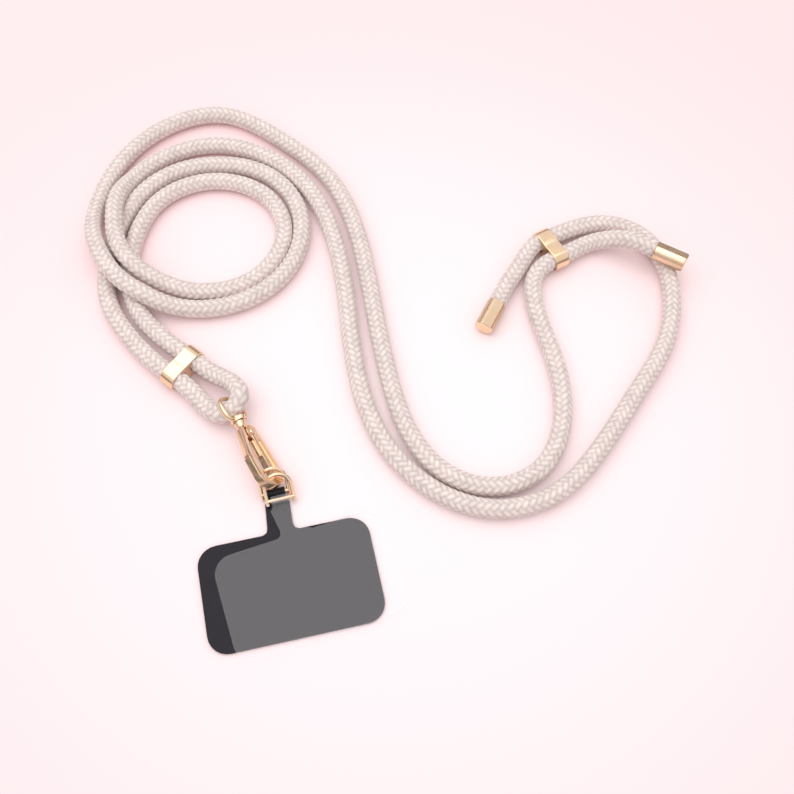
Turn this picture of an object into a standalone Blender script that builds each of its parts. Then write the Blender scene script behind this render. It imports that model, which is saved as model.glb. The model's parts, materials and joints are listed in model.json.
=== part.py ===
# Phone crossbody strap, lying on a flat surface.
# A round braided cord is doubled through the eye of a swivel snap clasp, coiled twice,
# held by a two-bore keeper near the clasp and by a second, sliding one near its two ends.
# Each cord end has a metal cap. Two card-like anchor patches hang on the clasp by wire rings.
# Units: metres. +Z is up, X and Y as the strap lies, origin under the middle of the metal and card pieces.

import math

import bmesh
import bpy
import numpy as np
from mathutils import Matrix, Vector

for old in list(bpy.data.objects):
    bpy.data.objects.remove(old, do_unlink=True)

MM = 0.001

# Middle of the metal and card pieces in the layout below, which becomes the origin
MIDDLE = (17.9, -32.85)

# Cord
ROPE_D = 7.0
ROPE_R = ROPE_D / 2
LIFT = ROPE_R + 0.05
# How far the tube's straight stretches may cut inside the cord's bends, free and in fitted stretches
FREE_SAG = 1.4
FITTED_SAG = 0.4

# Keepers
KEEPER_CLEAR = 0.3
KEEPER_BORE_R = ROPE_R + KEEPER_CLEAR
KEEPER_WALL = 0.6
KEEPER_PITCH = 10.0
KEEPER_LENGTH = 6.2
KEEPER_HEIGHT = 2 * (KEEPER_BORE_R + KEEPER_WALL)
KEEPER_WAIST = 0.25
KEEPER_Z = KEEPER_HEIGHT / 2
SLIDER_AT = (67.8, 45.6)
SLIDER_TURN = 30.0
CLASP_KEEPER_AT = (-77.8, -9.6)
CLASP_KEEPER_TURN = -37.0

# End caps
CAP_D = 7.4
CAP_LENGTH = 12.3
CAP_FACET = 0.55
CAP_GAP = 0.3
CAP_ROUND = 0.6

# Clasp: its long axis, and how far it is rolled on to its spine side
CLASP_AT = (-53.3, -35.15)
CLASP_Z = 7.05
CLASP_YAW = -60.2
CLASP_PITCH = -1.4
HOOK_ROLL = 45.9
EYE_ROLL = 47.0

# Swivel eye, lengths along the clasp axis from the collar
EYE_HALF_LENGTH = 5.05
EYE_HALF_WIDTH = 5.15
EYE_CENTRE = -6.95
EYE_WIRE_R = 0.75
EYE_BOSS_R = 2.6
EYE_BOSS = (-2.6, -1.0)
POST_R = 1.5
POST_RUN = 0.06
POST_HEAD_R = 1.9
POST_HEAD = (-3.45, -2.95)
COLLAR_R = 2.3
COLLAR = (-0.75, 1.3)

# Hook
HOOK_T = 3.3
HOOK_HALF_W = 6.1
HOOK_BEND_X = 22.5
SLOT_Y = -1.45
SLOT_R = 2.3
SLOT_END_X = 23.9
PIVOT = (4.3, 2.3)
EAR_R = 2.6
EAR_SLOT_T = 1.5
RIVET_R = 0.85
RIVET_HEAD_R = 1.45
RIVET_HEAD_T = 0.4
GATE_T = 2.9
GATE_GAP = 0.3
GATE_TIP_R = 13.2
TONGUE_T = 1.1

# Wire rings
RING_WIRE_R = 0.7
RING_HALF_W = 4.9
RING_LEG = 4.4
RING_FOOT = 1.6
RING_BAR_R = 0.75
REAR_RING = {"at": (-39.6, -60.05, 1.65), "turn": 12.5, "rise": 42.6}
FRONT_RING = {"at": (-37.4, -62.95, 2.65), "turn": 14.3, "rise": 33.7}

# Patches
PATCH_W = 62.0
PATCH_H = 39.0
PATCH_CORNER = 7.2
PATCH_T = 0.8
NECK_W = 9.3
LOOP_W = 7.2
LOOP_R = 1.6
LOOP_WALL = 0.6
LOOP_STEP_IN = 0.03
BLACK_AT = (-32.5, -93.9)
BLACK_TURN = 12.6
CLEAR_AT = (-25.4, -94.3)
CLEAR_TURN = 19.0
CLEAR_LOW = PATCH_T + 0.25


def material(name, rgb, roughness, metallic, alpha=1.0):
    made = bpy.data.materials.new(name)
    made.use_nodes = True
    shader = made.node_tree.nodes["Principled BSDF"]
    shader.inputs["Base Color"].default_value = (*rgb, 1.0)
    shader.inputs["Roughness"].default_value = roughness
    shader.inputs["Metallic"].default_value = metallic
    shader.inputs["Alpha"].default_value = alpha
    made.diffuse_color = (*rgb, alpha)
    return made


def add_mesh(name, bm, mat, matrix=None, smooth=35.0):
    bmesh.ops.recalc_face_normals(bm, faces=bm.faces)
    mesh = bpy.data.meshes.new(name)
    bm.to_mesh(mesh)
    bm.free()
    made = bpy.data.objects.new(name, mesh)
    bpy.context.scene.collection.objects.link(made)
    if mat is not None:
        mesh.materials.append(mat)
    if matrix is not None:
        made.matrix_world = matrix
    if smooth:
        mesh.shade_smooth()
        mesh.set_sharp_from_angle(angle=math.radians(smooth))
    return made


def helper(made):
    made.hide_render = True
    made.display_type = "WIRE"
    return made


def boolean(target, other, operation):
    change = target.modifiers.new(operation.lower(), "BOOLEAN")
    change.operation = operation
    change.solver = "EXACT"
    change.object = helper(other)


def bevel(target, width, segments=2, angle=35.0):
    change = target.modifiers.new("edge", "BEVEL")
    change.width = width * MM
    change.segments = segments
    change.limit_method = "ANGLE"
    change.angle_limit = math.radians(angle)


def outline_mesh(points, low, high):
    """A closed outline in the X-Y plane, made solid between two heights."""
    bm = bmesh.new()
    lower = [bm.verts.new((x * MM, y * MM, low * MM)) for x, y in points]
    upper = [bm.verts.new((x * MM, y * MM, high * MM)) for x, y in points]
    bm.faces.new(lower[::-1])
    bm.faces.new(upper)
    for i in range(len(points)):
        j = (i + 1) % len(points)
        bm.faces.new((lower[i], lower[j], upper[j], upper[i]))
    return bm


def arc(cx, cy, radius, start, end, steps):
    """Points along an arc, angles in degrees."""
    found = []
    for i in range(steps + 1):
        angle = math.radians(start + (end - start) * i / steps)
        found.append((cx + radius * math.cos(angle), cy + radius * math.sin(angle)))
    return found


def turned(profile, steps=24):
    """A solid of revolution about X from (x, radius) rows, ends closed."""
    bm = bmesh.new()
    rings = []
    for x, radius in profile:
        ring = []
        for k in range(steps):
            angle = 2 * math.pi * k / steps
            ring.append(bm.verts.new((x * MM, radius * math.cos(angle) * MM, radius * math.sin(angle) * MM)))
        rings.append(ring)
    for near, far in zip(rings, rings[1:]):
        for k in range(steps):
            j = (k + 1) % steps
            bm.faces.new((near[k], near[j], far[j], far[k]))
    bm.faces.new(rings[0][::-1])
    bm.faces.new(rings[-1])
    return bm


def swept(path, radius, steps=10, closed=False):
    """A round wire along a path of millimetre points."""
    points = [Vector(p) for p in path]
    count = len(points)
    bm = bmesh.new()
    rings = []
    side = None
    for i, point in enumerate(points):
        if closed:
            along = (points[(i + 1) % count] - points[i - 1]).normalized()
        else:
            along = (points[min(i + 1, count - 1)] - points[max(i - 1, 0)]).normalized()
        if side is None:
            side = along.orthogonal().normalized()
        side = (side - along * side.dot(along)).normalized()
        up = along.cross(side)
        ring = []
        for k in range(steps):
            angle = 2 * math.pi * k / steps
            ring.append(bm.verts.new((point + (side * math.cos(angle) + up * math.sin(angle)) * radius) * MM))
        rings.append(ring)
    pairs = list(zip(rings, rings[1:]))
    if closed:
        pairs.append((rings[-1], rings[0]))
    for near, far in pairs:
        for k in range(steps):
            j = (k + 1) % steps
            bm.faces.new((near[k], near[j], far[j], far[k]))
    if not closed:
        bm.faces.new(rings[0][::-1])
        bm.faces.new(rings[-1])
    return bm


def place(x, y, z, turn=0.0, pitch=0.0, roll=0.0):
    """Where a piece modelled along X lies: rolled, pitched, then turned."""
    rotation = Matrix.Rotation(math.radians(turn), 4, "Z")
    rotation = rotation @ Matrix.Rotation(math.radians(-pitch), 4, "Y")
    rotation = rotation @ Matrix.Rotation(math.radians(roll), 4, "X")
    return Matrix.Translation((x * MM, y * MM, z * MM)) @ rotation


def natural_spline(points):
    """Stations and second derivatives of the cubic through the points, chord length as its variable."""
    data = np.array(points, float)
    stations = np.concatenate([[0.0], np.cumsum(np.linalg.norm(np.diff(data, axis=0), axis=1))])
    gaps = np.diff(stations)
    count = len(data)
    system = np.eye(count)
    right = np.zeros_like(data)
    for i in range(1, count - 1):
        system[i, i - 1] = gaps[i - 1]
        system[i, i] = 2 * (gaps[i - 1] + gaps[i])
        system[i, i + 1] = gaps[i]
        right[i] = 6 * ((data[i + 1] - data[i]) / gaps[i] - (data[i] - data[i - 1]) / gaps[i - 1])
    return data, stations, np.linalg.solve(system, right)


def spline_at(curve, index, share):
    """The point at a share of the way from one route point to the next."""
    data, stations, bend = curve
    gap = stations[index + 1] - stations[index]
    a, b = 1 - share, share
    return (
        a * data[index]
        + b * data[index + 1]
        + ((a**3 - a) * bend[index] + (b**3 - b) * bend[index + 1]) * gap * gap / 6
    )


gold = material("rose_gold", (0.87, 0.66, 0.47), 0.22, 1.0)
cord_white = material("cord", (0.74, 0.62, 0.58), 0.85, 0.0)
patch_black = material("patch_black", (0.035, 0.03, 0.038), 0.55, 0.0)
patch_clear = material("patch_clear", (0.93, 0.92, 0.93), 0.15, 0.0, 0.3)

# The cord's route, in millimetres: hand-placed points where it runs free,
# and angle, radius and height rows about the coil's centre where it is coiled.
COIL_CENTRE = (-74.0, 57.0)
COIL_A = [
    (0, 51.0, LIFT), (30, 45.5, LIFT), (60, 43.8, LIFT), (90, 44.2, LIFT), (120, 43.2, LIFT),
    (145, 42.0, 4.5), (163, 39.5, 9.3), (180, 37.2, 10.9), (200, 36.3, 10.9), (220, 34.8, 9.8),
    (240, 32.4, 6.0), (270, 31.5, LIFT), (300, 32.6, LIFT), (330, 32.8, LIFT), (360, 31.7, LIFT),
    (390, 29.0, LIFT), (420, 26.0, LIFT), (450, 24.4, LIFT), (480, 24.3, LIFT), (510, 25.7, LIFT),
    (540, 28.2, LIFT),
]
COIL_B = [
    (0, 61.5, LIFT), (30, 56.0, LIFT), (60, 55.2, LIFT), (90, 61.5, LIFT), (120, 57.5, LIFT),
    (150, 50.8, LIFT), (175, 47.3, 5.2), (192, 45.2, 9.2), (206, 44.0, 10.9), (222, 43.3, 10.9),
    (237, 42.2, 9.8), (255, 40.5, 5.2), (275, 39.7, LIFT), (300, 39.9, LIFT), (330, 40.0, LIFT),
    (360, 39.2, LIFT), (390, 37.7, LIFT), (420, 35.4, LIFT), (450, 33.2, LIFT), (480, 33.4, LIFT),
    (510, 34.2, LIFT), (540, 36.4, LIFT),
]


def coil(rows):
    found = []
    for angle, radius, height in rows:
        turn = math.radians(angle)
        found.append((COIL_CENTRE[0] + radius * math.cos(turn), COIL_CENTRE[1] + radius * math.sin(turn), height))
    return found


def through_keeper(at, turn, side, forward):
    """The two points where a cord enters and leaves one bore of a keeper."""
    along = math.radians(turn)
    across = along + math.pi / 2
    x = at[0] + side * KEEPER_PITCH / 2 * math.cos(across)
    y = at[1] + side * KEEPER_PITCH / 2 * math.sin(across)
    reach = KEEPER_LENGTH / 2 + 1.6
    ends = [(x - reach * math.cos(along), y - reach * math.sin(along), KEEPER_Z)]
    ends.append((x + reach * math.cos(along), y + reach * math.sin(along), KEEPER_Z))
    return ends if forward else ends[::-1]


FIRST_END = [(44.5, 19.5, 3.8), (49.5, 29.5, LIFT), (55.0, 38.5, 3.8)]
OUTER_BEND = [
    (81.0, 57.5, 3.7), (92.0, 59.0, LIFT), (104.5, 54.0, LIFT), (112.5, 42.5, LIFT),
    (115.0, 24.0, LIFT), (109.0, 0.5, LIFT), (97.5, -18.0, LIFT), (80.0, -43.5, LIFT),
    (61.0, -62.0, LIFT), (38.5, -67.0, LIFT), (17.0, -59.0, LIFT), (0.0, -41.0, LIFT),
    (-10.5, -12.5, LIFT), (-15.5, 21.5, LIFT),
]
INNER_TAIL = [(-103.5, 32.5, LIFT), (-98.0, 16.5, LIFT)]
EYE_LOOP = [
    (-68.0, -10.8, 4.6), (-62.0, -14.5, 5.4), (-56.6, -18.9, 7.5), (-54.2, -24.4, 8.8),
    (-56.9, -28.9, 7.15), (-61.2, -30.2, 5.7), (-66.5, -27.0, 4.3),
]
OUTER_TAIL = [(-100.5, 5.0, LIFT), (-110.0, 20.0, LIFT)]
INNER_BEND = [
    (-5.0, 21.5, LIFT), (1.5, -12.5, LIFT), (9.5, -37.0, LIFT), (22.5, -53.0, LIFT),
    (41.0, -58.5, LIFT), (57.5, -51.5, LIFT), (67.0, -31.5, LIFT), (65.0, -2.0, LIFT),
    (59.5, 24.0, LIFT), (61.5, 34.0, 3.8),
]
SECOND_END = [(84.5, 49.0, 4.2), (92.5, 48.5, 7.6), (101.0, 45.0, 11.0), (109.0, 40.5, 10.9)]

# The stretches in order, and whether each one is fitted to a metal piece.
stretches = [
    (FIRST_END, False),
    (through_keeper(SLIDER_AT, SLIDER_TURN, 1, True), True),
    (OUTER_BEND + coil(COIL_A) + INNER_TAIL, False),
    (through_keeper(CLASP_KEEPER_AT, CLASP_KEEPER_TURN, 1, True), True),
    (EYE_LOOP, True),
    (through_keeper(CLASP_KEEPER_AT, CLASP_KEEPER_TURN, -1, False), True),
    (OUTER_TAIL + coil(COIL_B)[::-1] + INNER_BEND, False),
    (through_keeper(SLIDER_AT, SLIDER_TURN, -1, True), True),
    (SECOND_END, False),
]
route = []
fitted = []
for points, is_fitted in stretches:
    route += points
    fitted += [is_fitted] * len(points)


def bend_depth(points):
    """How far the points between the first and the last stand off the line through those two."""
    along = (points[-1] - points[0]) / np.linalg.norm(points[-1] - points[0])
    offsets = [point - points[0] for point in points[1:-1]]
    return max([np.linalg.norm(offset - along * offset.dot(along)) for offset in offsets], default=0.0)


# The tube keeps a point where a straight stretch would cut too far inside the bend.
smooth_route = natural_spline(route)
tube = [smooth_route[0][0]]
pending = [tube[0]]
for i in range(len(route) - 1):
    tight = fitted[i] and fitted[i + 1]
    for k in range(1, 9):
        pending.append(spline_at(smooth_route, i, k / 8))
        if bend_depth(pending) > (FITTED_SAG if tight else FREE_SAG):
            tube.append(pending[-2])
            pending = pending[-2:]
    if fitted[i + 1]:
        tube.append(pending[-1])
        pending = pending[-1:]
tube.append(smooth_route[0][-1])

cord_curve = bpy.data.curves.new("rope", "CURVE")
cord_curve.dimensions = "3D"
cord_curve.bevel_depth = ROPE_R * MM
cord_curve.bevel_resolution = 3
cord_curve.use_fill_caps = True
line = cord_curve.splines.new("POLY")
line.points.add(len(tube) - 1)
for target, point in zip(line.points, tube):
    target.co = (*(point * MM), 1.0)
rope = bpy.data.objects.new("rope", cord_curve)
cord_curve.materials.append(cord_white)
bpy.context.scene.collection.objects.link(rope)


def keeper(name, at, turn):
    """Two round bores side by side in one low stadium-shaped block."""
    top = KEEPER_HEIGHT / 2
    half = KEEPER_PITCH / 2
    upper = []
    for i in range(13):
        y = half - 2 * half * i / 12
        dip = KEEPER_WAIST * math.cos(min(1.0, abs(y) / 2.0) * math.pi / 2) ** 2
        upper.append((y, top - dip))
    outline = upper + arc(-half, 0, top, 90, 270, 14)[1:-1]
    outline += [(-y, -z) for y, z in upper] + arc(half, 0, top, -90, 90, 14)[1:-1]
    block = add_mesh(name, outline_mesh(outline, -KEEPER_LENGTH / 2, KEEPER_LENGTH / 2), gold)
    # The outline stands across the cord: its own X and Y become the keeper's Y and Z.
    stand = Matrix(((0, 0, 1, 0), (1, 0, 0, 0), (0, 1, 0, 0), (0, 0, 0, 1)))
    block.data.transform(stand)
    block.matrix_world = place(at[0], at[1], KEEPER_Z, turn)
    bevel(block, 0.35, 2, 40)
    for side in (1, -1):
        bore = turned([(-KEEPER_LENGTH, KEEPER_BORE_R), (KEEPER_LENGTH, KEEPER_BORE_R)], 28)
        cutter = add_mesh(f"{name}_bore_{side}", bore, None)
        cutter.matrix_world = place(at[0], at[1], KEEPER_Z, turn) @ Matrix.Translation((0, side * half * MM, 0))
        boolean(block, cutter, "DIFFERENCE")
    return block


clasp_keeper = keeper("clasp_keeper", CLASP_KEEPER_AT, CLASP_KEEPER_TURN)
slider = keeper("slider", SLIDER_AT, SLIDER_TURN)


def end_cap(name, end, before, facet_turn):
    """A round cap beyond the cord's end, closed at the far end, with one flat facet along it."""
    end, before = Vector(end), Vector(before)
    along = (end - before).normalized()
    along.z = 0
    along.normalize()
    r = CAP_D / 2
    profile = [(CAP_GAP, r - 0.25), (CAP_GAP + 0.25, r), (CAP_GAP + CAP_LENGTH - CAP_ROUND, r)]
    for i in range(1, 4):
        angle = math.pi / 2 * i / 3
        x = CAP_GAP + CAP_LENGTH - CAP_ROUND + CAP_ROUND * math.sin(angle)
        profile.append((x, r - CAP_ROUND + CAP_ROUND * math.cos(angle)))
    turn = math.degrees(math.atan2(along.y, along.x))
    where = place(end.x, end.y, end.z, turn, 0.0, facet_turn)
    made = add_mesh(name, turned(profile, 32), gold, where)
    slab = bmesh.new()
    bmesh.ops.create_cube(slab, size=1.0)
    size = Matrix.Diagonal((3 * CAP_LENGTH * MM, 3 * r * MM, 2 * r * MM, 1.0))
    bmesh.ops.transform(slab, matrix=Matrix.Translation((0, 0, (2 * r - CAP_FACET) * MM)) @ size, verts=slab.verts)
    cutter = add_mesh(name + "_facet", slab, None, where, 0)
    boolean(made, cutter, "DIFFERENCE")
    return made


cap_left = end_cap("cap_left", route[0], route[1], 20.0)
cap_right = end_cap("cap_right", route[-1], route[-2], 20.0)

clasp = place(CLASP_AT[0], CLASP_AT[1], CLASP_Z, CLASP_YAW, CLASP_PITCH, 0.0)
hook_frame = clasp @ Matrix.Rotation(math.radians(-HOOK_ROLL), 4, "X")
eye_frame = clasp @ Matrix.Rotation(math.radians(-EYE_ROLL), 4, "X")

# Swivel eye: a rounded wire loop on a short boss that turns on the hook's post.
loop = []
for i in range(40):
    angle = 2 * math.pi * i / 40
    c, s = math.cos(angle), math.sin(angle)
    power = 0.72
    x = EYE_CENTRE + EYE_HALF_LENGTH * math.copysign(abs(c) ** power, c)
    y = EYE_HALF_WIDTH * math.copysign(abs(s) ** power, s)
    loop.append((x, y, 0.0))
swivel_eye = add_mesh("swivel_eye", swept(loop, EYE_WIRE_R, 12, True), gold, eye_frame)
boss_shape = turned([(EYE_BOSS[0], EYE_BOSS_R - 0.3), (EYE_BOSS[0] + 0.3, EYE_BOSS_R), (EYE_BOSS[1], EYE_BOSS_R)])
boolean(swivel_eye, add_mesh("eye_boss", boss_shape, None, eye_frame), "UNION")
hole = turned([(EYE_BOSS[0] - 0.5, POST_R + POST_RUN), (EYE_BOSS[1] + 1.0, POST_R + POST_RUN)])
boolean(swivel_eye, add_mesh("eye_hole", hole, None, eye_frame), "DIFFERENCE")

# Hook body: head with a slot for the gate, straight spine, round bend and tip.
px, py = PIVOT
outer = HOOK_HALF_W
inner_spine = SLOT_Y + SLOT_R
inner_gate = SLOT_Y - SLOT_R
outline = [(1.0, -0.1), (1.0, 3.2), (2.2, 4.6), (6.0, 5.1), (12.0, outer - 0.4), (17.0, outer)]
bend_outer = arc(HOOK_BEND_X, 0, outer, 90, -90, 20)
tip_face = []
for i in range(5):
    y = -outer + (inner_gate + outer) * i / 4
    tip_face.append((px + math.sqrt((GATE_TIP_R + GATE_GAP) ** 2 - (py - y) ** 2), y))
bend_inner = arc(SLOT_END_X, SLOT_Y, SLOT_R, -90, 90, 12)
ear = arc(px, py, EAR_R, -35, -150, 9)
hook_outline = outline + bend_outer + tip_face + bend_inner + [(7.6, inner_spine)] + ear
hook_body = add_mesh("hook_body", outline_mesh(hook_outline[::-1], -HOOK_T / 2, HOOK_T / 2), gold, hook_frame)
bevel(hook_body, 0.45, 2, 30)

ear_slot = [(px + 3.6, py + 1.6), (px - 2.0, py + 2.6), (px - 2.5, py + 1.0), (px - 2.5, -6), (px + 5.0, -6)]
cutter = add_mesh("hook_slot", outline_mesh(ear_slot, -EAR_SLOT_T / 2, EAR_SLOT_T / 2), None, hook_frame, 0)
boolean(hook_body, cutter, "DIFFERENCE")
upright = Matrix.Rotation(math.radians(-90), 4, "Y")
pin_frame = hook_frame @ Matrix.Translation((px * MM, py * MM, 0)) @ upright
cutter = add_mesh("hook_pin_hole", turned([(-HOOK_T, RIVET_R + 0.06), (HOOK_T, RIVET_R + 0.06)]), None, pin_frame)
boolean(hook_body, cutter, "DIFFERENCE")
post = [
    (POST_HEAD[0], POST_HEAD_R - 0.2), (POST_HEAD[0] + 0.2, POST_HEAD_R), (POST_HEAD[1], POST_HEAD_R),
    (POST_HEAD[1], POST_R), (COLLAR[0], POST_R), (COLLAR[0], COLLAR_R), (COLLAR[1], COLLAR_R - 0.5),
    (COLLAR[1] + 0.7, 1.0),
]
boolean(hook_body, add_mesh("hook_post", turned(post), None, hook_frame), "UNION")
groove = [(8.0, 2.7), (8.6, 2.2), (21.0, 2.9), (21.6, 3.6), (21.0, 4.3), (8.6, 3.5)]
cutter = add_mesh("hook_groove", outline_mesh(groove, HOOK_T / 2 - 0.7, HOOK_T), None, hook_frame, 0)
boolean(hook_body, cutter, "DIFFERENCE")

# Gate: the sprung arm that closes the mouth, with a tongue into the head.
tip = []
for i in range(5):
    y = inner_gate - 0.05 - (inner_gate - 0.05 + outer) * i / 4
    tip.append((px + math.sqrt(GATE_TIP_R**2 - (py - y) ** 2), y))
arm = [(2.0, -0.75), (6.9, -1.5), (9.5, inner_gate + 0.5)] + tip + [(9.0, -outer + 1.6), (2.6, -3.4)]
gate_outline = [(x - px, y - py) for x, y in arm]
gate_frame = hook_frame @ Matrix.Translation((px * MM, py * MM, 0))
gate = add_mesh("gate", outline_mesh(gate_outline, -GATE_T / 2, GATE_T / 2), gold, gate_frame)
bevel(gate, 0.4, 2, 30)
tongue = arc(px, py, EAR_R - 0.7, 200, -20, 14) + [(px + 2.2, -2.0), (px - 1.6, -2.0)]
other = add_mesh("gate_tongue", outline_mesh(tongue, -TONGUE_T / 2, TONGUE_T / 2), None, hook_frame, 0)
boolean(gate, other, "UNION")
cutter = add_mesh("gate_pin_hole", turned([(-HOOK_T, RIVET_R + 0.06), (HOOK_T, RIVET_R + 0.06)]), None, pin_frame)
boolean(gate, cutter, "DIFFERENCE")

# Rivet through both ears and the tongue.
face = HOOK_T / 2 + 0.06
rivet_rows = [
    (-face - RIVET_HEAD_T, RIVET_HEAD_R - 0.35), (-face - 0.1, RIVET_HEAD_R), (-face, RIVET_HEAD_R),
    (-face, RIVET_R), (face, RIVET_R), (face, RIVET_HEAD_R), (face + 0.1, RIVET_HEAD_R),
    (face + RIVET_HEAD_T, RIVET_HEAD_R - 0.35),
]
rivet = add_mesh("rivet", turned(rivet_rows), gold, pin_frame)


def wire_ring(name, ring):
    """A bent wire bow whose two feet stand past a straight bar."""
    bow = [(-RING_HALF_W, -RING_FOOT, 0), (-RING_HALF_W, RING_LEG / 2, 0)]
    bow += [(x, y, 0) for x, y in arc(0, RING_LEG, RING_HALF_W, 180, 0, 18)]
    bow += [(RING_HALF_W, RING_LEG / 2, 0), (RING_HALF_W, -RING_FOOT, 0)]
    x, y, z = ring["at"]
    where = place(x, y, z, ring["turn"], 0.0, ring["rise"])
    made = add_mesh(name, swept(bow, RING_WIRE_R, 10), gold, where)
    bar = turned([(-RING_HALF_W - 0.35, RING_BAR_R), (RING_HALF_W + 0.35, RING_BAR_R)], 16)
    boolean(made, add_mesh(name + "_bar", bar, None, where), "UNION")
    return made


ring_black = wire_ring("ring_black", REAR_RING)
ring_clear = wire_ring("ring_clear", FRONT_RING)


def patch(name, mat, centre, turn, low, ring):
    """A thin rounded card with a narrow neck that ends in a loop around the ring's bar."""
    cx, cy = centre
    w, h, r = PATCH_W / 2, PATCH_H / 2, PATCH_CORNER
    spin = math.radians(turn)
    corners = []
    for x, y, start in ((w - r, h - r, 0), (-w + r, h - r, 90), (-w + r, -h + r, 180), (w - r, -h + r, 270)):
        corners.append(arc(x, y, r, start, start + 90, 6))
    at = Vector(ring["at"])
    bar_turn = math.radians(ring["turn"])
    # The loop and the neck's end follow the bar; the neck's root follows the card.
    def to_world(x, y):
        return (cx + x * math.cos(spin) - y * math.sin(spin), cy + x * math.sin(spin) + y * math.cos(spin))
    def at_bar(x, y):
        return (
            at.x + x * math.cos(bar_turn) - y * math.sin(bar_turn),
            at.y + x * math.sin(bar_turn) + y * math.cos(bar_turn),
        )
    half = NECK_W / 2
    points = [to_world(x, y) for x, y in corners[0]]
    points += [to_world(half + 2.0, h), to_world(half + 0.5, h + 0.8), to_world(half, h + 2.5)]
    tip = LOOP_W / 2 - 0.1
    points += [at_bar(half - 0.2, -3.6), at_bar(tip, -2.4), at_bar(tip, 0)]
    points += [at_bar(-tip, 0), at_bar(-tip, -2.4), at_bar(-half + 0.2, -3.6)]
    points += [to_world(-half, h + 2.5), to_world(-half - 0.5, h + 0.8), to_world(-half - 2.0, h)]
    for corner in corners[1:]:
        points += [to_world(x, y) for x, y in corner]
    made = add_mesh(name, outline_mesh(points, low, low + PATCH_T), mat, None, 30)
    where = place(at.x, at.y, low + LOOP_R, ring["turn"])
    tube_rows = [(-LOOP_W / 2, LOOP_R - LOOP_STEP_IN), (LOOP_W / 2, LOOP_R - LOOP_STEP_IN)]
    boolean(made, add_mesh(name + "_loop", turned(tube_rows, 20), None, where), "UNION")
    inner_rows = [(-LOOP_W, LOOP_R - LOOP_WALL), (LOOP_W, LOOP_R - LOOP_WALL)]
    boolean(made, add_mesh(name + "_eye", turned(inner_rows, 20), None, where), "DIFFERENCE")
    return made


black = patch("patch_black", patch_black, BLACK_AT, BLACK_TURN, 0.0, REAR_RING)
clear = patch("patch_clear", patch_clear, CLEAR_AT, CLEAR_TURN, CLEAR_LOW, FRONT_RING)

# The origin goes under the middle of the metal and card pieces.
for placed in list(bpy.data.objects):
    placed.matrix_world = Matrix.Translation((-MIDDLE[0] * MM, -MIDDLE[1] * MM, 0)) @ placed.matrix_world
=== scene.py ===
# %% [markdown]
# A phone crossbody strap lies on a pale table: a round braided cord, a small swivel clasp, two keepers, two
# end caps and two card patches. The imported CAD model is the fixed frame that every piece here follows, so
# it is loaded first.

# %% Load the frame
import json
import math

import bpy
import numpy as np
from mathutils import Matrix, Vector


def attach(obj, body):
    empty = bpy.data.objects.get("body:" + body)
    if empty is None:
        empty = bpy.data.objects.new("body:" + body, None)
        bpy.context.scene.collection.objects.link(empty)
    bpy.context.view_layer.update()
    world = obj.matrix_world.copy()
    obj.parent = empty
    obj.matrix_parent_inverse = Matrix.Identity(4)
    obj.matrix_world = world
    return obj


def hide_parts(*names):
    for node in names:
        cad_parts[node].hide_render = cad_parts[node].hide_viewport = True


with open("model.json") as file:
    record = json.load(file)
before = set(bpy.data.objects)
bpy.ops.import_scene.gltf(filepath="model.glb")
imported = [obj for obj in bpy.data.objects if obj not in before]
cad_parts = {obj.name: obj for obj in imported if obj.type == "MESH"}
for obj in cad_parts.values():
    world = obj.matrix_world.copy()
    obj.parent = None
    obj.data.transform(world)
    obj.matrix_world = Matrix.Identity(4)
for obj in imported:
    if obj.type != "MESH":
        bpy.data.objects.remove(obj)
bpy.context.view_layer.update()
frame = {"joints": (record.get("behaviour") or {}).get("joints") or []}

MM = 0.001

# %% [markdown]
# The photograph looks down at the table from a little in front of it. A camera that stands above the strap
# and tips 27 degrees from straight down gives the same view, with an ordinary 45 mm lens.

# %% Camera
CAMERA_AT = (-0.0131, -0.16176, 0.34247)
CAMERA_TIP = math.radians(27.0)
CAMERA_LENS = 45.34
SENSOR_WIDTH = 36.0
NEAREST = 10 * MM

camera_data = bpy.data.cameras.new("camera")
camera_data.lens = CAMERA_LENS
camera_data.sensor_width = SENSOR_WIDTH
camera_data.clip_start = NEAREST
camera = bpy.data.objects.new("camera", camera_data)
camera.location = CAMERA_AT
camera.rotation_euler = (CAMERA_TIP, 0.0, 0.0)
bpy.context.scene.collection.objects.link(camera)
bpy.context.scene.camera = camera
print("camera height, mm:", round(camera.location.z / MM))

# %% [markdown]
# The cord's route is the same as in the CAD part. Where the cord runs free its points are listed one by one,
# and where it is coiled each row gives an angle, a radius and a height around the coil's middle. Millimetres
# are easier to read for something this small, so they are turned into metres at the end, and the place that
# MIDDLE names becomes the origin.

# %% The cord's route
MIDDLE = (17.9, -32.85)
CORD_D = 7.0
LIFT = CORD_D / 2 + 0.05
KEEPER_PITCH = 10.0
KEEPER_REACH = 4.7
KEEPER_Z = 4.4
SLIDER_AT = (67.8, 45.6)
SLIDER_TURN = 30.0
CLASP_KEEPER_AT = (-77.8, -9.6)
CLASP_KEEPER_TURN = -37.0
COIL_CENTRE = (-74.0, 57.0)
COIL_A = [
    (0, 51.0, LIFT), (30, 45.5, LIFT), (60, 43.8, LIFT), (90, 44.2, LIFT), (120, 43.2, LIFT),
    (145, 42.0, 4.5), (163, 39.5, 9.3), (180, 37.2, 10.9), (200, 36.3, 10.9), (220, 34.8, 9.8),
    (240, 32.4, 6.0), (270, 31.5, LIFT), (300, 32.6, LIFT), (330, 32.8, LIFT), (360, 31.7, LIFT),
    (390, 29.0, LIFT), (420, 26.0, LIFT), (450, 24.4, LIFT), (480, 24.3, LIFT), (510, 25.7, LIFT),
    (540, 28.2, LIFT),
]
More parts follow.
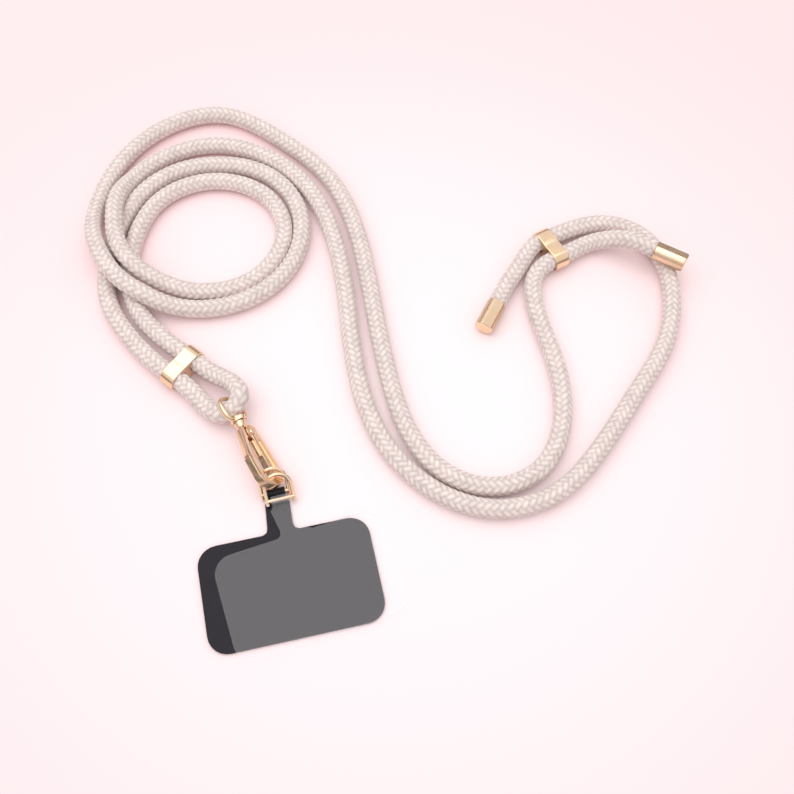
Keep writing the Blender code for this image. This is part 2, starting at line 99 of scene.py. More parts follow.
COIL_B = [
    (0, 61.5, LIFT), (30, 56.0, LIFT), (60, 55.2, LIFT), (90, 61.5, LIFT), (120, 57.5, LIFT),
    (150, 50.8, LIFT), (175, 47.3, 5.2), (192, 45.2, 9.2), (206, 44.0, 10.9), (222, 43.3, 10.9),
    (237, 42.2, 9.8), (255, 40.5, 5.2), (275, 39.7, LIFT), (300, 39.9, LIFT), (330, 40.0, LIFT),
    (360, 39.2, LIFT), (390, 37.7, LIFT), (420, 35.4, LIFT), (450, 33.2, LIFT), (480, 33.4, LIFT),
    (510, 34.2, LIFT), (540, 36.4, LIFT),
]
FIRST_END = [(44.5, 19.5, 3.8), (49.5, 29.5, LIFT), (55.0, 38.5, 3.8)]
OUTER_BEND = [
    (81.0, 57.5, 3.7), (92.0, 59.0, LIFT), (104.5, 54.0, LIFT), (112.5, 42.5, LIFT),
    (115.0, 24.0, LIFT), (109.0, 0.5, LIFT), (97.5, -18.0, LIFT), (80.0, -43.5, LIFT),
    (61.0, -62.0, LIFT), (38.5, -67.0, LIFT), (17.0, -59.0, LIFT), (0.0, -41.0, LIFT),
    (-10.5, -12.5, LIFT), (-15.5, 21.5, LIFT),
]
INNER_TAIL = [(-103.5, 32.5, LIFT), (-98.0, 16.5, LIFT)]
EYE_LOOP = [
    (-68.0, -10.8, 4.6), (-62.0, -14.5, 5.4), (-56.6, -18.9, 7.5), (-54.2, -24.4, 8.8),
    (-56.9, -28.9, 7.15), (-61.2, -30.2, 5.7), (-66.5, -27.0, 4.3),
]
OUTER_TAIL = [(-100.5, 5.0, LIFT), (-110.0, 20.0, LIFT)]
INNER_BEND = [
    (-5.0, 21.5, LIFT), (1.5, -12.5, LIFT), (9.5, -37.0, LIFT), (22.5, -53.0, LIFT),
    (41.0, -58.5, LIFT), (57.5, -51.5, LIFT), (67.0, -31.5, LIFT), (65.0, -2.0, LIFT),
    (59.5, 24.0, LIFT), (61.5, 34.0, 3.8),
]
SECOND_END = [(84.5, 49.0, 4.2), (92.5, 48.5, 7.6), (101.0, 45.0, 11.0), (109.0, 40.5, 10.9)]


def coil(rows):
    found = []
    for angle, radius, height in rows:
        turn = math.radians(angle)
        x = COIL_CENTRE[0] + radius * math.cos(turn)
        y = COIL_CENTRE[1] + radius * math.sin(turn)
        found.append((x, y, height))
    return found


def through_keeper(at, turn, side, forward):
    """The two points where a cord enters and leaves one bore of a keeper."""
    along = math.radians(turn)
    across = along + math.pi / 2
    x = at[0] + side * KEEPER_PITCH / 2 * math.cos(across)
    y = at[1] + side * KEEPER_PITCH / 2 * math.sin(across)
    ends = [(x - KEEPER_REACH * math.cos(along), y - KEEPER_REACH * math.sin(along), KEEPER_Z)]
    ends.append((x + KEEPER_REACH * math.cos(along), y + KEEPER_REACH * math.sin(along), KEEPER_Z))
    return ends if forward else ends[::-1]


route = FIRST_END + through_keeper(SLIDER_AT, SLIDER_TURN, 1, True) + OUTER_BEND
route += coil(COIL_A) + INNER_TAIL
route += through_keeper(CLASP_KEEPER_AT, CLASP_KEEPER_TURN, 1, True) + EYE_LOOP
route += through_keeper(CLASP_KEEPER_AT, CLASP_KEEPER_TURN, -1, False) + OUTER_TAIL
route += coil(COIL_B)[::-1] + INNER_BEND
route += through_keeper(SLIDER_AT, SLIDER_TURN, -1, True) + SECOND_END
route = (np.array(route) - (*MIDDLE, 0.0)) * MM
print("route points:", len(route))

# %% [markdown]
# A cord has no corners. The cubic that passes through all the points with an even bend gives its middle
# line, and that line is then measured, so that the braid can be laid along it by true length.

# %% The cord's middle line


def even_curve(points, parts=24):
    """Points along the cubic through the given ones, with chord length as its variable."""
    stations = np.concatenate([[0.0], np.cumsum(np.linalg.norm(np.diff(points, axis=0), axis=1))])
    gaps = np.diff(stations)
    system = np.eye(len(points))
    right = np.zeros_like(points)
    for i in range(1, len(points) - 1):
        system[i, i - 1] = gaps[i - 1]
        system[i, i] = 2 * (gaps[i - 1] + gaps[i])
        system[i, i + 1] = gaps[i]
        right[i] = 6 * ((points[i + 1] - points[i]) / gaps[i] - (points[i] - points[i - 1]) / gaps[i - 1])
    bend = np.linalg.solve(system, right)
    found = []
    for i, gap in enumerate(gaps):
        for k in range(parts):
            b = k / parts
            a = 1 - b
            curl = ((a**3 - a) * bend[i] + (b**3 - b) * bend[i + 1]) * gap * gap / 6
            found.append(a * points[i] + b * points[i + 1] + curl)
    found.append(points[-1])
    return np.array(found)


middle_line = even_curve(route)
stretch = np.concatenate([[0.0], np.cumsum(np.linalg.norm(np.diff(middle_line, axis=0), axis=1))])
CORD_LENGTH = float(stretch[-1])
print("cord length, mm:", round(CORD_LENGTH / MM))

# %% [markdown]
# The cord is a round braid of sixteen strands: eight wind to the right and eight to the left, and each one
# passes over two and under two of the others. From above that shows as bands of small slanting pads.
# A plain tube with a bump map would have a smooth outline, so the pads are real relief here. The mesh is a
# lattice that follows the strands, with three steps to a crossing, so its edges fall in the grooves. Soft
# pads swell a little past the cord's own diameter, and at each end the cord is slimmer where a cap grips it.

# %% Lattice of the braid
STRANDS = 8
LAY = 21.5 * MM
STEPS = 3
PAD_PROUD = 0.15
TOP_R = (CORD_D / 2 + PAD_PROUD) * MM
GROOVE = 0.31 * MM
END_R = 2.95 * MM
END_FROM = 0.45 * MM
END_TAPER = 0.9 * MM
TABLE_GAP = 0.02 * MM
COLUMNS = STRANDS * STEPS
RING_STEP = LAY / (2 * COLUMNS)

rings = int(CORD_LENGTH / RING_STEP)
ring_at = np.linspace(0.0, CORD_LENGTH, rings)
centre = np.stack([np.interp(ring_at, stretch, middle_line[:, k]) for k in range(3)], axis=1)
centre[:, 2] = np.maximum(centre[:, 2], TOP_R + TABLE_GAP)
along = np.gradient(centre, axis=0)
along /= np.linalg.norm(along, axis=1)[:, None]
side = np.zeros_like(along)
side[0] = np.cross(along[0], (0.0, 0.0, 1.0))
for n in range(1, rings):
    side[n] = side[n - 1] - along[n] * side[n - 1].dot(along[n])
    side[n] /= np.linalg.norm(side[n])
up = np.cross(along, side)
print("rings:", rings, "of", COLUMNS, "points")

# %% [markdown]
# Each lattice point knows which strand of either hand it is on. A pad is highest along its middle, falls a
# little where the strand dives under its neighbours, and meets the next pad in a groove.

# %% Height of the braid
PAD_END = 0.6
BETWEEN_PADS = 0.12


def right_on_top(i, j):
    return (i + j) % 4 < 2


def pad_height(a, b):
    """Height between 0 in a groove and 1 on a pad, for lattice steps a and b of the two hands."""
    i, j = a // STEPS, b // STEPS
    on_a, on_b = a % STEPS == 0, b % STEPS == 0
    right = right_on_top(i, j)
    crossing = (i + j) % 4
    place = np.where(right, crossing * STEPS + b % STEPS, (crossing - 2) * STEPS + a % STEPS)
    inside = np.where((place == 1) | (place == 2 * STEPS - 1), PAD_END, 1.0)
    both_left = ~right & ~right_on_top(i - 1, j)
    both_right = right & right_on_top(i, j - 1)
    height = np.where(on_a & ~on_b, np.where(both_left, 1.0, BETWEEN_PADS), inside)
    height = np.where(on_b & ~on_a, np.where(both_right, 1.0, BETWEEN_PADS), height)
    return np.where(on_a & on_b, 0.0, height)


ring_number = np.repeat(np.arange(rings), COLUMNS)
around = 2 * np.tile(np.arange(COLUMNS), rings) + ring_number % 2
relief = pad_height((around - ring_number) // 2, (around + ring_number) // 2)
angle = around * math.pi / COLUMNS
from_end = np.minimum(ring_at, CORD_LENGTH - ring_at)[ring_number]
taper = np.clip((from_end - END_FROM) / END_TAPER, 0.0, 1.0)
radius = TOP_R - GROOVE * (1 - relief)
radius = radius - (TOP_R - END_R) * (1 - taper * taper * (3 - 2 * taper))
spread = side[ring_number] * np.cos(angle)[:, None] + up[ring_number] * np.sin(angle)[:, None]
points = centre[ring_number] + spread * radius[:, None]
print("braid height, mm:", round((radius.max() - radius.min()) / MM, 2))

# %% [markdown]
# The faces are diamonds that lean with the strands. Their texture map runs along and across whichever
# strand is on top, so that the yarn's fine threads can follow it in the material.


def lattice_index(n, m):
    return n * COLUMNS + (m % (2 * COLUMNS) - n % 2) // 2


n = np.repeat(np.arange(1, rings - 1), COLUMNS)
m = 2 * np.tile(np.arange(COLUMNS), rings - 2) + n % 2
diamond = ((0, 0), (-1, 1), (0, 2), (1, 1))
quads = np.stack([lattice_index(n + ring, m + step) for ring, step in diamond], axis=1)
first_cap, last_cap = len(points), len(points) + 1
points = np.vstack([points, centre[0], centre[-1]])
end_faces = []
for k in range(COLUMNS):
    step = 2 * k + 1
    near = [int(lattice_index(1, step)), int(lattice_index(0, step + 1)), int(lattice_index(1, step + 2))]
    end_faces += [(near[1], near[0], first_cap), (near[2], near[1], first_cap)]
    step = 2 * k + (rings - 2) % 2
    far = [int(lattice_index(rings - 2, v)) for v in (step, step + 2)]
    tip = int(lattice_index(rings - 1, step + 1))
    end_faces += [(tip, far[1], last_cap), (far[0], tip, last_cap)]

mesh = bpy.data.meshes.new("braided_cord")
mesh.from_pydata(points.tolist(), [], quads.tolist() + end_faces)
braided_cord = bpy.data.objects.new("braided_cord", mesh)
bpy.context.scene.collection.objects.link(braided_cord)
mesh.shade_smooth()

a, b = (m - n) // 2, (m + n) // 2
i, j = a // STEPS, b // STEPS
right = right_on_top(i, j)
corner_map = np.zeros((len(mesh.loops), 2), np.float32)
for corner, (da, db) in enumerate(((0, 0), (1, 0), (1, 1), (0, 1))):
    run = np.where(right, b + db, a + da) / STEPS
    across = np.where(right, a + da - i * STEPS, b + db - j * STEPS) / STEPS
    corner_map[corner : 4 * len(n) : 4, 0] = run
    corner_map[corner : 4 * len(n) : 4, 1] = across
strand_map = mesh.uv_layers.new(name="strand")
strand_map.data.foreach_set("uv", corner_map.ravel())
pad = mesh.attributes.new("pad", "FLOAT", "POINT")
pad.data.foreach_set("value", np.append(relief, [0.0, 0.0]).astype(np.float32))
mesh.update()
print("cord triangles:", 2 * len(quads) + len(end_faces))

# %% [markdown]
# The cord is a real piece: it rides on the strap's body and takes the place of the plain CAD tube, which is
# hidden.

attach(braided_cord, "strap")
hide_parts("rope")

# %% [markdown]
# Several finishes need the same soft unevenness: metal that is not equally polished everywhere, card with a
# faint cloud in its gloss, yarn that took the dye unequally. It is one group, built once, with its scale and
# its lowest and highest value as inputs, and each material places it with its own. A fine relief and a blend
# of two colours repeat as well, so each has a short function.

# %% Group for uneven surfaces


def uneven_group():
    group = bpy.data.node_groups.new("uneven", "ShaderNodeTree")
    for title, start in (("Scale", 200.0), ("Low", 0.0), ("High", 1.0)):
        socket = group.interface.new_socket(title, in_out="INPUT", socket_type="NodeSocketFloat")
        socket.default_value = start
    group.interface.new_socket("Vector", in_out="INPUT", socket_type="NodeSocketVector")
    group.interface.new_socket("Value", in_out="OUTPUT", socket_type="NodeSocketFloat")
    entry = group.nodes.new("NodeGroupInput")
    leave = group.nodes.new("NodeGroupOutput")
    noise = group.nodes.new("ShaderNodeTexNoise")
    noise.inputs["Detail"].default_value = 3.0
    noise.inputs["Roughness"].default_value = 0.55
    spread_out = group.nodes.new("ShaderNodeMapRange")
    spread_out.inputs["From Min"].default_value = 0.3
    spread_out.inputs["From Max"].default_value = 0.7
    group.links.new(entry.outputs["Vector"], noise.inputs["Vector"])
    group.links.new(entry.outputs["Scale"], noise.inputs["Scale"])
    group.links.new(noise.outputs["Fac"], spread_out.inputs["Value"])
    group.links.new(entry.outputs["Low"], spread_out.inputs["To Min"])
    group.links.new(entry.outputs["High"], spread_out.inputs["To Max"])
    group.links.new(spread_out.outputs["Result"], leave.inputs["Value"])
    return group


uneven = uneven_group()


def new_material(name):
    made = bpy.data.materials.new(name)
    made.use_nodes = True
    return made, made.node_tree.nodes["Principled BSDF"], made.node_tree


def place_uneven(tree, scale, low, high, vector):
    node = tree.nodes.new("ShaderNodeGroup")
    node.node_tree = uneven
    node.inputs["Scale"].default_value = scale
    node.inputs["Low"].default_value = low
    node.inputs["High"].default_value = high
    tree.links.new(vector, node.inputs["Vector"])
    return node.outputs["Value"]


def fine_relief(tree, shader, height, depth, strength):
    bump = tree.nodes.new("ShaderNodeBump")
    bump.inputs["Distance"].default_value = depth
    bump.inputs["Strength"].default_value = strength
    tree.links.new(height, bump.inputs["Height"])
    tree.links.new(bump.outputs["Normal"], shader.inputs["Normal"])


def blend(tree, factor, first, second):
    mix = tree.nodes.new("ShaderNodeMix")
    mix.data_type = "RGBA"
    mix.inputs["A"].default_value = first
    mix.inputs["B"].default_value = second
    tree.links.new(factor, mix.inputs["Factor"])
    return mix.outputs["Result"]


print("group inputs:", len(uneven.interface.items_tree) - 1)

# %% [markdown]
# The yarn is off-white with a warm grey tint. Shade is painted into its colour: it is lightest on the top of
# each pad and darker on the pads' sides and in the grooves, where light has to find its way in, on top of
# the shade that the real relief gets. Fine threads run along each strand, and they come from a noise that is
# stretched along the strand's own map. A little sheen stands for the fibres that catch light at the edge.

# %% Cord material
# The groove and side colours below are the yarn darkened by painted shade; the top colour is the yarn on a
# pad's top.
YARN_PAINTED_GROOVE_SHADE = (0.67, 0.56, 0.525, 1.0)
YARN_PAINTED_SIDE_SHADE = (0.80, 0.69, 0.65, 1.0)
YARN_TOP = (0.92, 0.82, 0.78, 1.0)
SIDE_AT = 0.45
TOP_AT = 0.95
THREADS_ALONG = 0.7
THREADS_ACROSS = 5.0
THREAD_LEAN = math.radians(9.0)
THREAD_SCALE = 1.6
THREAD_SHADE = (0.86, 1.08)
THREAD_DEPTH = 0.06 * MM
DYE_SCALE = 260.0
DYE_SHADE = (0.88, 1.06)

yarn, shader, tree = new_material("braided_yarn")
pad_value = tree.nodes.new("ShaderNodeAttribute")
pad_value.attribute_name = "pad"
# Painted shade: this ramp darkens the yarn where the pad height is low, in the grooves and on the pads'
# sides.
painted_shade_ramp = tree.nodes.new("ShaderNodeValToRGB")
painted_shade_ramp.color_ramp.elements[0].color = YARN_PAINTED_GROOVE_SHADE
painted_shade_ramp.color_ramp.elements[1].color = YARN_TOP
painted_shade_ramp.color_ramp.elements[1].position = TOP_AT
between = painted_shade_ramp.color_ramp.elements.new(SIDE_AT)
between.color = YARN_PAINTED_SIDE_SHADE
tree.links.new(pad_value.outputs["Fac"], painted_shade_ramp.inputs["Fac"])
strand_uv = tree.nodes.new("ShaderNodeUVMap")
strand_uv.uv_map = "strand"
stretch_map = tree.nodes.new("ShaderNodeMapping")
stretch_map.inputs["Scale"].default_value = (THREADS_ALONG, THREADS_ACROSS, 1.0)
stretch_map.inputs["Rotation"].default_value = (0.0, 0.0, THREAD_LEAN)
tree.links.new(strand_uv.outputs["UV"], stretch_map.inputs["Vector"])
thread = place_uneven(tree, THREAD_SCALE, 0.0, 1.0, stretch_map.outputs["Vector"])
place_on = tree.nodes.new("ShaderNodeTexCoord")
dye = place_uneven(tree, DYE_SCALE, *DYE_SHADE, place_on.outputs["Object"])
shade = tree.nodes.new("ShaderNodeMapRange")
shade.inputs["To Min"].default_value = THREAD_SHADE[0]
shade.inputs["To Max"].default_value = THREAD_SHADE[1]
tree.links.new(thread, shade.inputs["Value"])
both = tree.nodes.new("ShaderNodeMath")
both.operation = "MULTIPLY"
tree.links.new(shade.outputs["Result"], both.inputs[0])
tree.links.new(dye, both.inputs[1])
tint = tree.nodes.new("ShaderNodeVectorMath")
tint.operation = "SCALE"
tree.links.new(painted_shade_ramp.outputs["Color"], tint.inputs[0])
tree.links.new(both.outputs["Value"], tint.inputs["Scale"])
tree.links.new(tint.outputs["Vector"], shader.inputs["Base Color"])
fine_relief(tree, shader, thread, THREAD_DEPTH, 0.8)
shader.inputs["Roughness"].default_value = 0.82
shader.inputs["Sheen Weight"].default_value = 0.2
shader.inputs["Sheen Roughness"].default_value = 0.5
mesh.materials.append(yarn)
print("yarn nodes:", len(tree.nodes))

# %% [markdown]
# All the metal has one finish: a pale rose gold, plated and polished but not a mirror. The plating is a
# little uneven, which shows as a slow change in its gloss, and tiny handling marks break the highlights.

# %% Rose gold material
GOLD_COLOUR = (0.90, 0.65, 0.43, 1.0)
GOLD_LIGHT = (0.95, 0.74, 0.53, 1.0)
GLOSS_SCALE = 420.0
GLOSS_ROUGHNESS = (0.17, 0.27)
TONE_SCALE = 90.0
MARK_SCALE = 2600.0
MARK_DEPTH = 0.004 * MM

gold, shader, tree = new_material("rose_gold_plate")
shader.inputs["Metallic"].default_value = 1.0
place_on = tree.nodes.new("ShaderNodeTexCoord")
gloss = place_uneven(tree, GLOSS_SCALE, *GLOSS_ROUGHNESS, place_on.outputs["Object"])
tree.links.new(gloss, shader.inputs["Roughness"])
tone = place_uneven(tree, TONE_SCALE, 0.0, 1.0, place_on.outputs["Object"])
tree.links.new(blend(tree, tone, GOLD_COLOUR, GOLD_LIGHT), shader.inputs["Base Color"])
marks = place_uneven(tree, MARK_SCALE, 0.0, 1.0, place_on.outputs["Object"])
fine_relief(tree, shader, marks, MARK_DEPTH, 0.35)
print("gold nodes:", len(tree.nodes))

# %% [markdown]
# The CAD pieces of the clasp already have the right shape, but they come as loose triangles with flat
# faces. A copy with its points merged can be shaded smoothly over its rounds and stay crisp at its edges.
# Large faces are kept level, because a flat that is shaded round looks dented. The copy then takes the CAD
# piece's place on the same body.

# %% Smooth copies of the metal pieces
SMOOTH_ANGLE = 34.0
LEVEL_AREA = 20 * MM * MM
MERGE = 0.002 * MM


def select_only(made):
    bpy.ops.object.select_all(action="DESELECT")
    made.select_set(True)
    bpy.context.view_layer.objects.active = made


def shade_level(made, angle):
    """Smooth over small turns, with large faces kept level."""
    bpy.ops.object.shade_smooth_by_angle(angle=math.radians(angle))
    edges = {edge.key: edge for edge in made.data.edges}
    for face in made.data.polygons:
        if face.area > LEVEL_AREA:
            for key in face.edge_keys:
                edges[key].use_edge_sharp = True
    level = made.modifiers.new("level", "WEIGHTED_NORMAL")
    level.keep_sharp = True
    bpy.ops.object.modifier_apply(modifier=level.name)


def smooth_copy(node, body, finish):
    made = bpy.data.objects.new(node + "_finished", bpy.data.objects[node].data.copy())
    bpy.context.scene.collection.objects.link(made)
    select_only(made)
    bpy.ops.object.mode_set(mode="EDIT")
    bpy.ops.mesh.select_all(action="SELECT")
    bpy.ops.mesh.remove_doubles(threshold=MERGE)
    bpy.ops.mesh.customdata_custom_splitnormals_clear()
    bpy.ops.object.mode_set(mode="OBJECT")
    shade_level(made, SMOOTH_ANGLE)
    made.data.materials.clear()
    made.data.materials.append(finish)
    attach(made, body)
    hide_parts(node)
    return made


metal = {
    "clasp_keeper": "strap",
    "slider": "strap",
    "swivel_eye": "strap",
    "hook_body": "hook",
    "rivet": "hook",
    "ring_black": "hook",
    "ring_clear": "hook",
    "gate": "gate",
}
for node, body in metal.items():
    made = smooth_copy(node, body, gold)
    print(made.name, len(made.data.polygons), "faces")

# %% [markdown]
# The two joints give the hook its own axes: the swivel's axis runs along it, and the gate's pin stands
# across it. In those axes the eye is easy to refine. A cast eye is not a plain wire: it is slim where the
# cord hangs and grows wider towards the boss that the post turns in, so the copy is widened that way, at
# four stations in millimetres along the hook.

# %% Widen the eye towards its boss
joints = {joint["name"]: joint for joint in frame["joints"]}
hook_x = Vector(joints["swivel"]["axis"]).normalized()
hook_z = Vector(joints["gate_hinge"]["axis"]).normalized()
hook_y = hook_z.cross(hook_x)
hook_frame = Matrix((hook_x, hook_y, hook_z)).transposed().to_4x4()
hook_frame.translation = joints["swivel"]["pos_m"]
to_hook = hook_frame.inverted()
EYE_STATIONS = (-12.0, -8.5, -4.5, -1.0)
EYE_WIDER = (1.0, 1.35, 1.6, 1.25)

eye = bpy.data.objects["swivel_eye_finished"]
for vertex in eye.data.vertices:
    local = to_hook @ vertex.co
    local.z *= float(np.interp(local.x / MM, EYE_STATIONS, EYE_WIDER))
    vertex.co = hook_frame @ local
select_only(eye)
shade_level(eye, SMOOTH_ANGLE)
half_width = max(abs((to_hook @ vertex.co).z) for vertex in eye.data.vertices)
print("eye width, mm:", round(2 * half_width / MM, 1))

# %% [markdown]
# A thin leaf spring shows along the spine inside the hook. Only that stretch is made, just clear of the
# spine, and it stops short of the gate. It starts as a cube that is made long and flat, its free end is
# rounded with a bevel, and its rims are softened.

# %% Leaf spring
LEAF_FROM = 7.8 * MM
LEAF_TO = 15.2 * MM
LEAF_Y = 0.5 * MM
LEAF_T = 0.4 * MM
LEAF_W = 2.0 * MM
LEAF_ROUND = 0.5 * MM
LEAF_RIM = 0.05 * MM
SAME_PLACE = 1e-6

bpy.ops.object.select_all(action="DESELECT")
bpy.ops.mesh.primitive_cube_add(size=1.0, scale=(LEAF_TO - LEAF_FROM, LEAF_T, LEAF_W))
leaf = bpy.context.object
leaf.name = "gate_leaf"
bpy.ops.object.transform_apply(location=False, rotation=False, scale=True)
for edge in leaf.data.edges:
    ends = [leaf.data.vertices[v].co for v in edge.vertices]
    edge.select = all(p.x > 0 for p in ends) and abs(ends[0].z - ends[1].z) < SAME_PLACE
bpy.ops.object.mode_set(mode="EDIT")
bpy.ops.mesh.select_mode(type="EDGE")
bpy.ops.mesh.bevel(offset=LEAF_ROUND, segments=4, affect="EDGES")
bpy.ops.mesh.select_all(action="SELECT")
bpy.ops.mesh.bevel(offset=LEAF_RIM, segments=1, affect="EDGES")
bpy.ops.object.mode_set(mode="OBJECT")
leaf_middle = Matrix.Translation(((LEAF_FROM + LEAF_TO) / 2, LEAF_Y, 0))
leaf.matrix_world = hook_frame @ leaf_middle
bpy.ops.object.transform_apply(location=True, rotation=True, scale=True)
shade_level(leaf, SMOOTH_ANGLE)
leaf.data.materials.append(gold)
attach(leaf, "hook")
print("leaf faces:", len(leaf.data.polygons))

# %% [markdown]
# Each end of the cord is pushed into a metal cap and glued. A cap is a drawn cup with a closed, lightly
# rounded end and a thin rim, and one flat is milled along its side. It starts as a cylinder: the far edge is
# bevelled, the mouth is inset and pushed in to make the wall, and a plane cuts the flat.

# %% End caps
CAP_R = 3.7 * MM
CAP_WALL = 0.66 * MM
CAP_FROM = -0.4 * MM
CAP_TO = 12.6 * MM
CAP_FLAT = 0.55 * MM
CAP_EDGE = 0.55 * MM
CAP_SIDES = 96
CAP_HOLLOW = 0.7
CAP_SMOOTH_ANGLE = 28.0
FLAT_TURN = math.radians(20.0)


def faces_at(made, height):
    """Selects the faces that lie flat at one height of a piece that stands along Z."""
    for face in made.data.polygons:
        face.select = abs(face.center.z - height) < SAME_PLACE and abs(face.normal.z) > 0.9


def end_cap(name, node, end, before):
    length = CAP_TO - CAP_FROM
    bpy.ops.object.select_all(action="DESELECT")
    bpy.ops.mesh.primitive_cylinder_add(vertices=CAP_SIDES, radius=CAP_R, depth=length)
    made = bpy.context.object
    made.name = name
    faces_at(made, length / 2)
    bpy.ops.object.mode_set(mode="EDIT")
    bpy.ops.mesh.select_mode(type="FACE")
    bpy.ops.mesh.bevel(offset=CAP_EDGE, segments=4, affect="EDGES")
    bpy.ops.mesh.select_all(action="DESELECT")
    bpy.ops.object.mode_set(mode="OBJECT")
    faces_at(made, -length / 2)
    bpy.ops.object.mode_set(mode="EDIT")
    bpy.ops.mesh.inset(thickness=CAP_WALL)
    bpy.ops.mesh.extrude_region_move(TRANSFORM_OT_translate={"value": (0, 0, length * CAP_HOLLOW)})
    bpy.ops.mesh.select_all(action="SELECT")
    bpy.ops.mesh.bisect(
        plane_co=(CAP_R - CAP_FLAT, 0, 0), plane_no=(1, 0, 0), use_fill=True, clear_outer=True
    )
    bpy.ops.mesh.select_all(action="SELECT")
    bpy.ops.mesh.normals_make_consistent(inside=False)
    bpy.ops.object.mode_set(mode="OBJECT")
    direction = Vector(end - before)
    direction.z = 0
    turn = direction.to_track_quat("Z", "X").to_matrix().to_4x4()
    top_side = turn.to_3x3().inverted() @ Vector((0, 0, 1))
    roll = math.atan2(top_side.y, top_side.x) - FLAT_TURN
    middle = Vector(end) + direction.normalized() * (CAP_FROM + CAP_TO) / 2
    made.matrix_world = Matrix.Translation(middle) @ turn @ Matrix.Rotation(roll, 4, "Z")
    select_only(made)
    bpy.ops.object.transform_apply(location=True, rotation=True, scale=True)
    shade_level(made, CAP_SMOOTH_ANGLE)
    made.data.materials.append(gold)
    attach(made, "strap")
    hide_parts(node)
    return made


caps = [
    end_cap("cap_left_cup", "cap_left", route[0], route[1]),
    end_cap("cap_right_cup", "cap_right", route[-1], route[-2]),
]
for made in caps:
    print(made.name, [round(v / MM, 1) for v in made.dimensions])

# %% [markdown]
# Every piece on the cord is now in place. The cord leaves one cap, goes through the keepers and the clasp's
# eye, and ends in the other cap.

# %% [markdown]
# The first patch is black card with a satin face. Its gloss is faintly cloudy, and it has the slight grain
# of a pressed sheet.

# %% Black patch
BLACK_COLOUR = (0.011, 0.009, 0.015, 1.0)
SATIN_SCALE = 160.0
SATIN_ROUGHNESS = (0.36, 0.48)
GRAIN_SCALE = 1500.0
GRAIN_DEPTH = 0.006 * MM

black, shader, tree = new_material("satin_black_card")
shader.inputs["Base Color"].default_value = BLACK_COLOUR
shader.inputs["Specular IOR Level"].default_value = 0.22
place_on = tree.nodes.new("ShaderNodeTexCoord")
gloss = place_uneven(tree, SATIN_SCALE, *SATIN_ROUGHNESS, place_on.outputs["Object"])
tree.links.new(gloss, shader.inputs["Roughness"])
grain = place_uneven(tree, GRAIN_SCALE, 0.0, 1.0, place_on.outputs["Object"])
fine_relief(tree, shader, grain, GRAIN_DEPTH, 0.3)
black_patch = smooth_copy("patch_black", "hook", black)
print("black patch faces:", len(black_patch.data.polygons))

# %% [markdown]
# The second patch is a clear, slightly milky film. Over the black card it shows as grey, and over the table
# it almost disappears. Only its cut edge is easier to see, because light runs out there, so the walls of
# the sheet are more opaque than its faces.

# %% Clear patch
FILM_COLOUR = (0.93, 0.90, 0.92, 1.0)
FILM_FACE = 0.06
FILM_EDGE = 0.25
FILM_SCALE = 120.0
FILM_ROUGHNESS = (0.10, 0.18)

film, shader, tree = new_material("clear_film")
shader.inputs["Base Color"].default_value = FILM_COLOUR
shader.inputs["IOR"].default_value = 1.45
place_on = tree.nodes.new("ShaderNodeTexCoord")
gloss = place_uneven(tree, FILM_SCALE, *FILM_ROUGHNESS, place_on.outputs["Object"])
tree.links.new(gloss, shader.inputs["Roughness"])
split = tree.nodes.new("ShaderNodeSeparateXYZ")
tree.links.new(place_on.outputs["Normal"], split.inputs["Vector"])
upright = tree.nodes.new("ShaderNodeMath")
upright.operation = "ABSOLUTE"
tree.links.new(split.outputs["Z"], upright.inputs[0])
cover = tree.nodes.new("ShaderNodeMapRange")
cover.inputs["To Min"].default_value = FILM_EDGE
cover.inputs["To Max"].default_value = FILM_FACE
tree.links.new(upright.outputs["Value"], cover.inputs["Value"])
tree.links.new(cover.outputs["Result"], shader.inputs["Alpha"])
clear_patch = smooth_copy("patch_clear", "hook", film)
clear_patch.visible_shadow = False
print("film cover over both faces:", round(1 - (1 - FILM_FACE) ** 2, 3))

# %% [markdown]
# The table is a smooth pale sheet. A pool of light is painted into its colour, so it is lighter in the
# middle than at the edges. It is only the stage, so one plane with this painted change of colour is enough.

# %% Table
TABLE_SIZE = 8.0
# The two table colours hold a painted pool of light: lit in the middle, dimmer at the edges.
TABLE_PAINTED_LIT_MIDDLE = (0.99, 0.855, 0.87, 1.0)
TABLE_PAINTED_DIM_EDGE = (0.99, 0.74, 0.755, 1.0)
TABLE_DROP = 0.2 * MM
LIGHT_POOL_FROM = 20 * MM
LIGHT_POOL_TO = 260 * MM

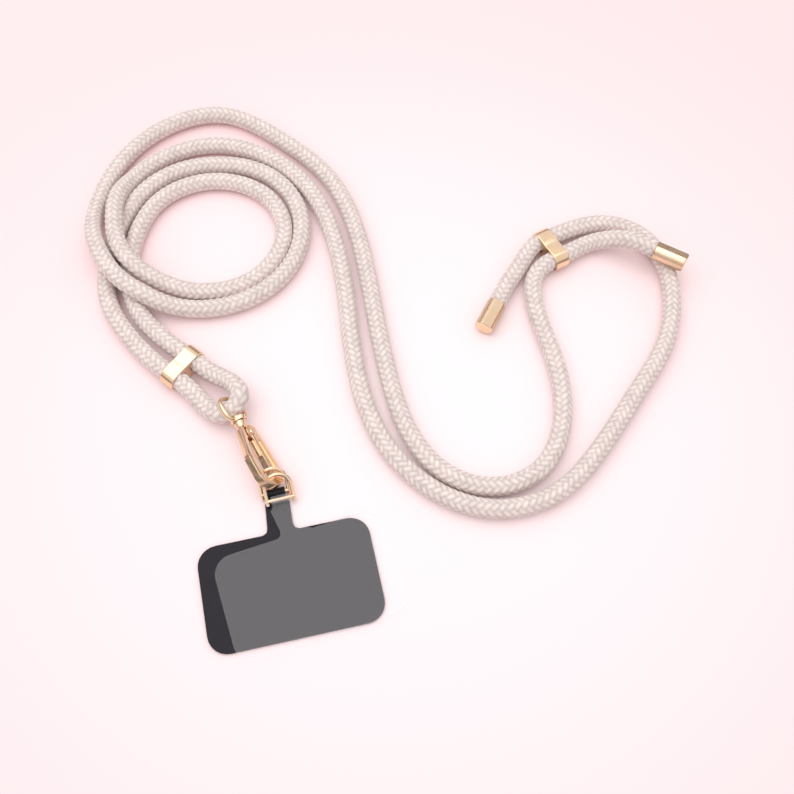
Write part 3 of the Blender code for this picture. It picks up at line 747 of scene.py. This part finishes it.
bpy.ops.object.select_all(action="DESELECT")
bpy.ops.mesh.primitive_plane_add(size=TABLE_SIZE, location=(0, 0, -TABLE_DROP))
table = bpy.context.object
table.name = "table"
paper, shader, tree = new_material("pale_table")
place_on = tree.nodes.new("ShaderNodeTexCoord")
distance = tree.nodes.new("ShaderNodeVectorMath")
distance.operation = "LENGTH"
tree.links.new(place_on.outputs["Object"], distance.inputs[0])
# Painted pool of light: the colour darkens with distance from the middle.
painted_light_pool = tree.nodes.new("ShaderNodeMapRange")
painted_light_pool.interpolation_type = "SMOOTHSTEP"
painted_light_pool.inputs["From Min"].default_value = LIGHT_POOL_FROM
painted_light_pool.inputs["From Max"].default_value = LIGHT_POOL_TO
tree.links.new(distance.outputs["Value"], painted_light_pool.inputs["Value"])
tree.links.new(blend(tree, painted_light_pool.outputs["Result"], TABLE_PAINTED_LIT_MIDDLE, TABLE_PAINTED_DIM_EDGE), shader.inputs["Base Color"])
shader.inputs["Roughness"].default_value = 0.9
shader.inputs["Specular IOR Level"].default_value = 0.1
table.data.materials.append(paper)
print("table side, m:", TABLE_SIZE)

# %% [markdown]
# Soft light comes from all sides, as in a small photo tent, with one large lamp above and to the left.
# The tent is bright overhead and darker near the horizon, which gives the metal something to mirror.

# %% Light
KEY_AT = (-0.22, 0.12, 1.0)
KEY_SIZE = 1.2
KEY_POWER = 5.2
SKY = ((0.0, 0.08), (0.18, 0.16), (0.3, 0.88), (0.5, 1.0), (1.0, 0.98))
SKY_WARMTH = 0.97
SKY_POWER = 0.9

world = bpy.data.worlds.new("tent")
bpy.context.scene.world = world
world.use_nodes = True
tree = world.node_tree
background = tree.nodes["Background"]
direction = tree.nodes.new("ShaderNodeTexCoord")
split = tree.nodes.new("ShaderNodeSeparateXYZ")
tree.links.new(direction.outputs["Generated"], split.inputs["Vector"])
sky = tree.nodes.new("ShaderNodeValToRGB")
sky.color_ramp.elements.remove(sky.color_ramp.elements[1])
for number, (place, level) in enumerate(SKY):
    element = sky.color_ramp.elements[0] if number == 0 else sky.color_ramp.elements.new(place)
    element.position = place
    element.color = (level, level * SKY_WARMTH, level * SKY_WARMTH, 1.0)
tree.links.new(split.outputs["Z"], sky.inputs["Fac"])
tree.links.new(sky.outputs["Color"], background.inputs["Color"])
background.inputs["Strength"].default_value = SKY_POWER

lamp_data = bpy.data.lights.new("key", "AREA")
lamp_data.energy = KEY_POWER
lamp_data.size = KEY_SIZE
lamp = bpy.data.objects.new("key", lamp_data)
lamp.location = KEY_AT
lamp.rotation_euler = (-Vector(KEY_AT)).to_track_quat("-Z", "Y").to_euler()
bpy.context.scene.collection.objects.link(lamp)
bpy.context.scene.view_settings.view_transform = "Standard"
print("lamp power, W:", KEY_POWER)
